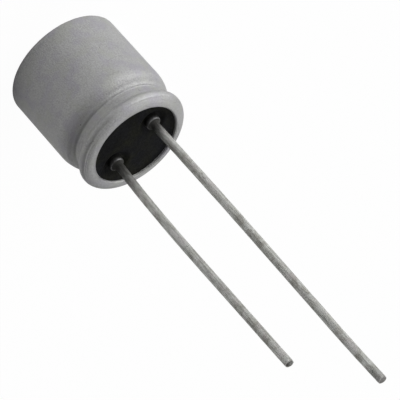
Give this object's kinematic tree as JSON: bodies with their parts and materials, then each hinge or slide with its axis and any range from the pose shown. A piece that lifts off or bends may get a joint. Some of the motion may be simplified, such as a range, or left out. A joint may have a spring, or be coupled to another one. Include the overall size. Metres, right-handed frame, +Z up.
{
  "type": "electrolytic capacitor",
  "caption": "Small radial electrolytic capacitor: a bare aluminium can with a rolled groove and rim, a rubber bung, a wound foil element inside and straight leads of unlike length.",
  "frame": {"origin": "centre of the outer face of the can's closed end, on which the part stands", "axes": "+Z runs up the can's axis and along both leads; the leads stand on the X axis, the long anode lead at -X and the short cathode lead at +X"},
  "size_m": [0.008, 0.008, 0.0316],
  "materials": {
    "can_aluminium": "satin, fine grain",
    "bung_rubber": "matte, dusty black",
    "tinned_wire": "drawn and tinned, dull",
    "tab_aluminium": "bright, plain",
    "etched_foil": "etched, dull grey",
    "plain_foil": "satin",
    "separator_paper": "matte fibre",
    "tape_film": "clear amber film"
  },
  "bodies": {
    "root": {"can": "can_aluminium", "rubber_bung": "bung_rubber", "anode_lead": "tinned_wire", "cathode_lead": "tinned_wire", "anode_tab": "tab_aluminium", "cathode_tab": "tab_aluminium", "anode_foil": "etched_foil", "cathode_foil": "plain_foil", "inner_separator": "separator_paper", "outer_separator": "separator_paper", "winding_tape": "tape_film"}
  },
  "joints": []
}
